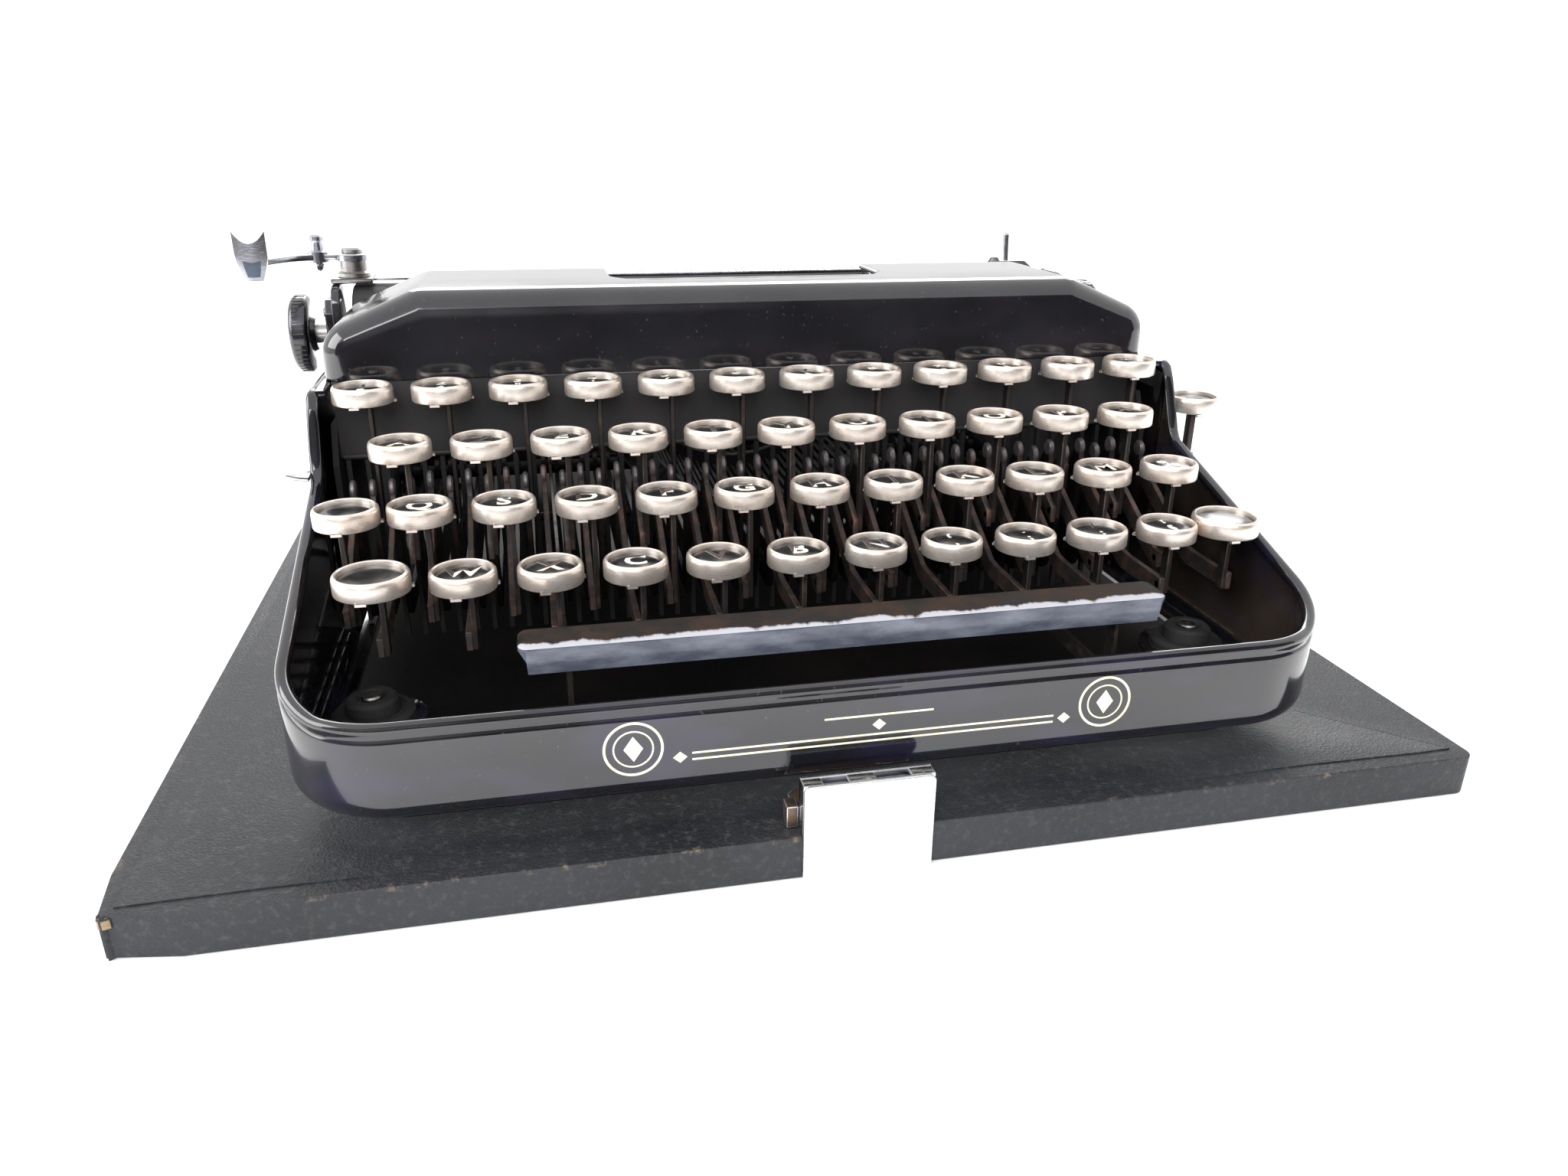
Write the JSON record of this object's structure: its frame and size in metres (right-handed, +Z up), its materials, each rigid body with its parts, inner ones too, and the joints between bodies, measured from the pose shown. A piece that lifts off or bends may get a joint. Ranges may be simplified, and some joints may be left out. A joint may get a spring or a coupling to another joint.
{
  "type": "portable typewriter",
  "caption": "Portable manual typewriter with round ringed keys, space bar, shift and type basket, lift-off ribbon cover and sliding carriage, fixed on its case board.",
  "frame": {"origin": "centre of the underside of the case board", "axes": "+Z up, +X to the typist's right, -Y towards the typist"},
  "size_m": [0.302, 0.3024, 0.1195],
  "materials": {
    "leatherette_board": "black leatherette glued over plywood, fine grain, worn edges",
    "nickel_plate": "bright nickel plate on steel, slightly tarnished",
    "black_enamel": "stoved gloss black enamel",
    "blued_steel": "dark blued steel with light rust",
    "spool_steel": "bright steel spools with black ribbon",
    "type_steel": "ground steel type bars",
    "space_bar_enamel": "worn black enamel",
    "key_nickel": "nickel-plated key rings around black faces",
    "carriage_enamel": "black enamel and blued steel",
    "platen_rubber": "hard black rubber with moulded knobs",
    "bright_chrome": "polished nickel"
  },
  "bodies": {
    "machine": {"case_board": "leatherette_board", "case_hardware": "nickel_plate", "frame_tray": "black_enamel", "chassis": "blued_steel", "ribbon_spools": "spool_steel"},
    "carriage": {"carriage_frame": "carriage_enamel"},
    "platen": {"platen": "platen_rubber"},
    "return_lever": {"return_lever": "bright_chrome"},
    "paper_bail": {"paper_bail": "bright_chrome"},
    "paper_release": {"paper_release_lever": "bright_chrome"},
    "top_cover": {"top_cover": "black_enamel"},
    "space_bar": {"space_bar": "space_bar_enamel"},
    "shift": {"shift_keys": "key_nickel"},
    "shift_lock": {"shift_lock_key": "key_nickel"},
    "backspace": {"backspace_key": "key_nickel"},
    "type_basket": {"type_bars": "type_steel"},
    "key_row1_01": {"key_row1_01": "key_nickel"},
    "key_row1_02": {"key_row1_02": "key_nickel"},
    "key_row1_03": {"key_row1_03": "key_nickel"},
    "key_row1_04": {"key_row1_04": "key_nickel"},
    "key_row1_05": {"key_row1_05": "key_nickel"},
    "key_row1_06": {"key_row1_06": "key_nickel"},
    "key_row1_07": {"key_row1_07": "key_nickel"},
    "key_row1_08": {"key_row1_08": "key_nickel"},
    "key_row1_09": {"key_row1_09": "key_nickel"},
    "key_row1_10": {"key_row1_10": "key_nickel"},
    "key_row1_11": {"key_row1_11": "key_nickel"},
    "key_row1_12": {"key_row1_12": "key_nickel"},
    "key_row2_01": {"key_row2_01": "key_nickel"},
    "key_row2_02": {"key_row2_02": "key_nickel"},
    "key_row2_03": {"key_row2_03": "key_nickel"},
    "key_row2_04": {"key_row2_04": "key_nickel"},
    "key_row2_05": {"key_row2_05": "key_nickel"},
    "key_row2_06": {"key_row2_06": "key_nickel"},
    "key_row2_07": {"key_row2_07": "key_nickel"},
    "key_row2_08": {"key_row2_08": "key_nickel"},
    "key_row2_09": {"key_row2_09": "key_nickel"},
    "key_row2_10": {"key_row2_10": "key_nickel"},
    "key_row2_11": {"key_row2_11": "key_nickel"},
    "key_row3_01": {"key_row3_01": "key_nickel"},
    "key_row3_02": {"key_row3_02": "key_nickel"},
    "key_row3_03": {"key_row3_03": "key_nickel"},
    "key_row3_04": {"key_row3_04": "key_nickel"},
    "key_row3_05": {"key_row3_05": "key_nickel"},
    "key_row3_06": {"key_row3_06": "key_nickel"},
    "key_row3_07": {"key_row3_07": "key_nickel"},
    "key_row3_08": {"key_row3_08": "key_nickel"},
    "key_row3_09": {"key_row3_09": "key_nickel"},
    "key_row3_10": {"key_row3_10": "key_nickel"},
    "key_row3_11": {"key_row3_11": "key_nickel"},
    "key_row4_01": {"key_row4_01": "key_nickel"},
    "key_row4_02": {"key_row4_02": "key_nickel"},
    "key_row4_03": {"key_row4_03": "key_nickel"},
    "key_row4_04": {"key_row4_04": "key_nickel"},
    "key_row4_05": {"key_row4_05": "key_nickel"},
    "key_row4_06": {"key_row4_06": "key_nickel"},
    "key_row4_07": {"key_row4_07": "key_nickel"},
    "key_row4_08": {"key_row4_08": "key_nickel"},
    "key_row4_09": {"key_row4_09": "key_nickel"},
    "key_row4_10": {"key_row4_10": "key_nickel"}
  },
  "joints": [
    {"name": "carriage_slide", "type": "slide", "parent": "machine", "child": "carriage", "axis": [1, 0, 0], "range_m": [-0.11, 0.11]},
    {"name": "platen_turn", "type": "hinge", "parent": "carriage", "child": "platen", "pos_m": [0, 0.04, 0.087], "axis": [1, 0, 0], "continuous": true},
    {"name": "return_lever_swing", "type": "hinge", "parent": "carriage", "child": "return_lever", "pos_m": [-0.115, 0.04, 0.105], "axis": [0, 0, 1], "range_deg": [0, 30], "stiffness_Nm_per_rad": 0.05, "springref_deg": -20.05},
    {"name": "paper_bail_lift", "type": "hinge", "parent": "carriage", "child": "paper_bail", "pos_m": [0, 0.063, 0.097], "axis": [-1, 0, 0], "range_deg": [0, 70]},
    {"name": "paper_release_tilt", "type": "hinge", "parent": "carriage", "child": "paper_release", "pos_m": [0.111, 0.0605, 0.092], "axis": [1, 0, 0], "range_deg": [0, 18]},
    {"name": "top_cover_lift", "type": "slide", "parent": "machine", "child": "top_cover", "axis": [0, 0, 1], "range_m": [0, 0.03]},
    {"name": "space_bar_press", "type": "hinge", "parent": "machine", "child": "space_bar", "pos_m": [0, 0.075, 0.03], "axis": [1, 0, 0], "range_deg": [0, 1.8], "stiffness_Nm_per_rad": 1.2, "springref_deg": -11.46},
    {"name": "shift_press", "type": "hinge", "parent": "machine", "child": "shift", "pos_m": [0, 0.075, 0.03], "axis": [1, 0, 0], "range_deg": [0, 2.6], "stiffness_Nm_per_rad": 1.5, "springref_deg": -25.78},
    {"name": "basket_shift", "type": "slide", "parent": "machine", "child": "type_basket", "axis": [0, 0, 1], "range_m": [-0.0061, 0]},
    {"name": "shift_lock_press", "type": "hinge", "parent": "machine", "child": "shift_lock", "pos_m": [0, 0.075, 0.03], "axis": [1, 0, 0], "range_deg": [0, 2.6], "stiffness_Nm_per_rad": 0.7, "springref_deg": -11.46},
    {"name": "backspace_press", "type": "hinge", "parent": "machine", "child": "backspace", "pos_m": [0.1197, 0, 0.064], "axis": [1, 0, 0], "range_deg": [0, 8], "stiffness_Nm_per_rad": 0.12, "springref_deg": -14.32},
    {"name": "key_row1_01_press", "type": "hinge", "parent": "machine", "child": "key_row1_01", "pos_m": [0, 0.075, 0.03], "axis": [1, 0, 0], "range_deg": [0, 4], "stiffness_Nm_per_rad": 0.6, "springref_deg": -6.88},
    {"name": "key_row1_02_press", "type": "hinge", "parent": "machine", "child": "key_row1_02", "pos_m": [0, 0.075, 0.03], "axis": [1, 0, 0], "range_deg": [0, 4], "stiffness_Nm_per_rad": 0.6, "springref_deg": -6.88},
    {"name": "key_row1_03_press", "type": "hinge", "parent": "machine", "child": "key_row1_03", "pos_m": [0, 0.075, 0.03], "axis": [1, 0, 0], "range_deg": [0, 4], "stiffness_Nm_per_rad": 0.6, "springref_deg": -6.88},
    {"name": "key_row1_04_press", "type": "hinge", "parent": "machine", "child": "key_row1_04", "pos_m": [0, 0.075, 0.03], "axis": [1, 0, 0], "range_deg": [0, 4], "stiffness_Nm_per_rad": 0.6, "springref_deg": -6.88},
    {"name": "key_row1_05_press", "type": "hinge", "parent": "machine", "child": "key_row1_05", "pos_m": [0, 0.075, 0.03], "axis": [1, 0, 0], "range_deg": [0, 4], "stiffness_Nm_per_rad": 0.6, "springref_deg": -6.88},
    {"name": "key_row1_06_press", "type": "hinge", "parent": "machine", "child": "key_row1_06", "pos_m": [0, 0.075, 0.03], "axis": [1, 0, 0], "range_deg": [0, 4], "stiffness_Nm_per_rad": 0.6, "springref_deg": -6.88},
    {"name": "key_row1_07_press", "type": "hinge", "parent": "machine", "child": "key_row1_07", "pos_m": [0, 0.075, 0.03], "axis": [1, 0, 0], "range_deg": [0, 4], "stiffness_Nm_per_rad": 0.6, "springref_deg": -6.88},
    {"name": "key_row1_08_press", "type": "hinge", "parent": "machine", "child": "key_row1_08", "pos_m": [0, 0.075, 0.03], "axis": [1, 0, 0], "range_deg": [0, 4], "stiffness_Nm_per_rad": 0.6, "springref_deg": -6.88},
    {"name": "key_row1_09_press", "type": "hinge", "parent": "machine", "child": "key_row1_09", "pos_m": [0, 0.075, 0.03], "axis": [1, 0, 0], "range_deg": [0, 4], "stiffness_Nm_per_rad": 0.6, "springref_deg": -6.88},
    {"name": "key_row1_10_press", "type": "hinge", "parent": "machine", "child": "key_row1_10", "pos_m": [0, 0.075, 0.03], "axis": [1, 0, 0], "range_deg": [0, 4], "stiffness_Nm_per_rad": 0.6, "springref_deg": -6.88},
    {"name": "key_row1_11_press", "type": "hinge", "parent": "machine", "child": "key_row1_11", "pos_m": [0, 0.075, 0.03], "axis": [1, 0, 0], "range_deg": [0, 4], "stiffness_Nm_per_rad": 0.6, "springref_deg": -6.88},
    {"name": "key_row1_12_press", "type": "hinge", "parent": "machine", "child": "key_row1_12", "pos_m": [0, 0.075, 0.03], "axis": [1, 0, 0], "range_deg": [0, 4], "stiffness_Nm_per_rad": 0.6, "springref_deg": -6.88},
    {"name": "key_row2_01_press", "type": "hinge", "parent": "machine", "child": "key_row2_01", "pos_m": [0, 0.075, 0.03], "axis": [1, 0, 0], "range_deg": [0, 4], "stiffness_Nm_per_rad": 0.6, "springref_deg": -6.88},
    {"name": "key_row2_02_press", "type": "hinge", "parent": "machine", "child": "key_row2_02", "pos_m": [0, 0.075, 0.03], "axis": [1, 0, 0], "range_deg": [0, 4], "stiffness_Nm_per_rad": 0.6, "springref_deg": -6.88},
    {"name": "key_row2_03_press", "type": "hinge", "parent": "machine", "child": "key_row2_03", "pos_m": [0, 0.075, 0.03], "axis": [1, 0, 0], "range_deg": [0, 4], "stiffness_Nm_per_rad": 0.6, "springref_deg": -6.88},
    {"name": "key_row2_04_press", "type": "hinge", "parent": "machine", "child": "key_row2_04", "pos_m": [0, 0.075, 0.03], "axis": [1, 0, 0], "range_deg": [0, 4], "stiffness_Nm_per_rad": 0.6, "springref_deg": -6.88},
    {"name": "key_row2_05_press", "type": "hinge", "parent": "machine", "child": "key_row2_05", "pos_m": [0, 0.075, 0.03], "axis": [1, 0, 0], "range_deg": [0, 4], "stiffness_Nm_per_rad": 0.6, "springref_deg": -6.88},
    {"name": "key_row2_06_press", "type": "hinge", "parent": "machine", "child": "key_row2_06", "pos_m": [0, 0.075, 0.03], "axis": [1, 0, 0], "range_deg": [0, 4], "stiffness_Nm_per_rad": 0.6, "springref_deg": -6.88},
    {"name": "key_row2_07_press", "type": "hinge", "parent": "machine", "child": "key_row2_07", "pos_m": [0, 0.075, 0.03], "axis": [1, 0, 0], "range_deg": [0, 4], "stiffness_Nm_per_rad": 0.6, "springref_deg": -6.88},
    {"name": "key_row2_08_press", "type": "hinge", "parent": "machine", "child": "key_row2_08", "pos_m": [0, 0.075, 0.03], "axis": [1, 0, 0], "range_deg": [0, 4], "stiffness_Nm_per_rad": 0.6, "springref_deg": -6.88},
    {"name": "key_row2_09_press", "type": "hinge", "parent": "machine", "child": "key_row2_09", "pos_m": [0, 0.075, 0.03], "axis": [1, 0, 0], "range_deg": [0, 4], "stiffness_Nm_per_rad": 0.6, "springref_deg": -6.88},
    {"name": "key_row2_10_press", "type": "hinge", "parent": "machine", "child": "key_row2_10", "pos_m": [0, 0.075, 0.03], "axis": [1, 0, 0], "range_deg": [0, 4], "stiffness_Nm_per_rad": 0.6, "springref_deg": -6.88},
    {"name": "key_row2_11_press", "type": "hinge", "parent": "machine", "child": "key_row2_11", "pos_m": [0, 0.075, 0.03], "axis": [1, 0, 0], "range_deg": [0, 4], "stiffness_Nm_per_rad": 0.6, "springref_deg": -6.88},
    {"name": "key_row3_01_press", "type": "hinge", "parent": "machine", "child": "key_row3_01", "pos_m": [0, 0.075, 0.03], "axis": [1, 0, 0], "range_deg": [0, 4], "stiffness_Nm_per_rad": 0.6, "springref_deg": -6.88},
    {"name": "key_row3_02_press", "type": "hinge", "parent": "machine", "child": "key_row3_02", "pos_m": [0, 0.075, 0.03], "axis": [1, 0, 0], "range_deg": [0, 4], "stiffness_Nm_per_rad": 0.6, "springref_deg": -6.88},
    {"name": "key_row3_03_press", "type": "hinge", "parent": "machine", "child": "key_row3_03", "pos_m": [0, 0.075, 0.03], "axis": [1, 0, 0], "range_deg": [0, 4], "stiffness_Nm_per_rad": 0.6, "springref_deg": -6.88},
    {"name": "key_row3_04_press", "type": "hinge", "parent": "machine", "child": "key_row3_04", "pos_m": [0, 0.075, 0.03], "axis": [1, 0, 0], "range_deg": [0, 4], "stiffness_Nm_per_rad": 0.6, "springref_deg": -6.88},
    {"name": "key_row3_05_press", "type": "hinge", "parent": "machine", "child": "key_row3_05", "pos_m": [0, 0.075, 0.03], "axis": [1, 0, 0], "range_deg": [0, 4], "stiffness_Nm_per_rad": 0.6, "springref_deg": -6.88},
    {"name": "key_row3_06_press", "type": "hinge", "parent": "machine", "child": "key_row3_06", "pos_m": [0, 0.075, 0.03], "axis": [1, 0, 0], "range_deg": [0, 4], "stiffness_Nm_per_rad": 0.6, "springref_deg": -6.88},
    {"name": "key_row3_07_press", "type": "hinge", "parent": "machine", "child": "key_row3_07", "pos_m": [0, 0.075, 0.03], "axis": [1, 0, 0], "range_deg": [0, 4], "stiffness_Nm_per_rad": 0.6, "springref_deg": -6.88},
    {"name": "key_row3_08_press", "type": "hinge", "parent": "machine", "child": "key_row3_08", "pos_m": [0, 0.075, 0.03], "axis": [1, 0, 0], "range_deg": [0, 4], "stiffness_Nm_per_rad": 0.6, "springref_deg": -6.88},
    {"name": "key_row3_09_press", "type": "hinge", "parent": "machine", "child": "key_row3_09", "pos_m": [0, 0.075, 0.03], "axis": [1, 0, 0], "range_deg": [0, 4], "stiffness_Nm_per_rad": 0.6, "springref_deg": -6.88},
    {"name": "key_row3_10_press", "type": "hinge", "parent": "machine", "child": "key_row3_10", "pos_m": [0, 0.075, 0.03], "axis": [1, 0, 0], "range_deg": [0, 4], "stiffness_Nm_per_rad": 0.6, "springref_deg": -6.88},
    {"name": "key_row3_11_press", "type": "hinge", "parent": "machine", "child": "key_row3_11", "pos_m": [0, 0.075, 0.03], "axis": [1, 0, 0], "range_deg": [0, 4], "stiffness_Nm_per_rad": 0.6, "springref_deg": -6.88},
    {"name": "key_row4_01_press", "type": "hinge", "parent": "machine", "child": "key_row4_01", "pos_m": [0, 0.075, 0.03], "axis": [1, 0, 0], "range_deg": [0, 4], "stiffness_Nm_per_rad": 0.6, "springref_deg": -6.88},
    {"name": "key_row4_02_press", "type": "hinge", "parent": "machine", "child": "key_row4_02", "pos_m": [0, 0.075, 0.03], "axis": [1, 0, 0], "range_deg": [0, 4], "stiffness_Nm_per_rad": 0.6, "springref_deg": -6.88},
    {"name": "key_row4_03_press", "type": "hinge", "parent": "machine", "child": "key_row4_03", "pos_m": [0, 0.075, 0.03], "axis": [1, 0, 0], "range_deg": [0, 4], "stiffness_Nm_per_rad": 0.6, "springref_deg": -6.88},
    {"name": "key_row4_04_press", "type": "hinge", "parent": "machine", "child": "key_row4_04", "pos_m": [0, 0.075, 0.03], "axis": [1, 0, 0], "range_deg": [0, 4], "stiffness_Nm_per_rad": 0.6, "springref_deg": -6.88},
    {"name": "key_row4_05_press", "type": "hinge", "parent": "machine", "child": "key_row4_05", "pos_m": [0, 0.075, 0.03], "axis": [1, 0, 0], "range_deg": [0, 4], "stiffness_Nm_per_rad": 0.6, "springref_deg": -6.88},
    {"name": "key_row4_06_press", "type": "hinge", "parent": "machine", "child": "key_row4_06", "pos_m": [0, 0.075, 0.03], "axis": [1, 0, 0], "range_deg": [0, 4], "stiffness_Nm_per_rad": 0.6, "springref_deg": -6.88},
    {"name": "key_row4_07_press", "type": "hinge", "parent": "machine", "child": "key_row4_07", "pos_m": [0, 0.075, 0.03], "axis": [1, 0, 0], "range_deg": [0, 4], "stiffness_Nm_per_rad": 0.6, "springref_deg": -6.88},
    {"name": "key_row4_08_press", "type": "hinge", "parent": "machine", "child": "key_row4_08", "pos_m": [0, 0.075, 0.03], "axis": [1, 0, 0], "range_deg": [0, 4], "stiffness_Nm_per_rad": 0.6, "springref_deg": -6.88},
    {"name": "key_row4_09_press", "type": "hinge", "parent": "machine", "child": "key_row4_09", "pos_m": [0, 0.075, 0.03], "axis": [1, 0, 0], "range_deg": [0, 4], "stiffness_Nm_per_rad": 0.6, "springref_deg": -6.88},
    {"name": "key_row4_10_press", "type": "hinge", "parent": "machine", "child": "key_row4_10", "pos_m": [0, 0.075, 0.03], "axis": [1, 0, 0], "range_deg": [0, 4], "stiffness_Nm_per_rad": 0.6, "springref_deg": -6.88}
  ],
  "couplings": [
    {"joint": "basket_shift", "follows": "shift_press", "m_per_rad": -0.13222}
  ]
}
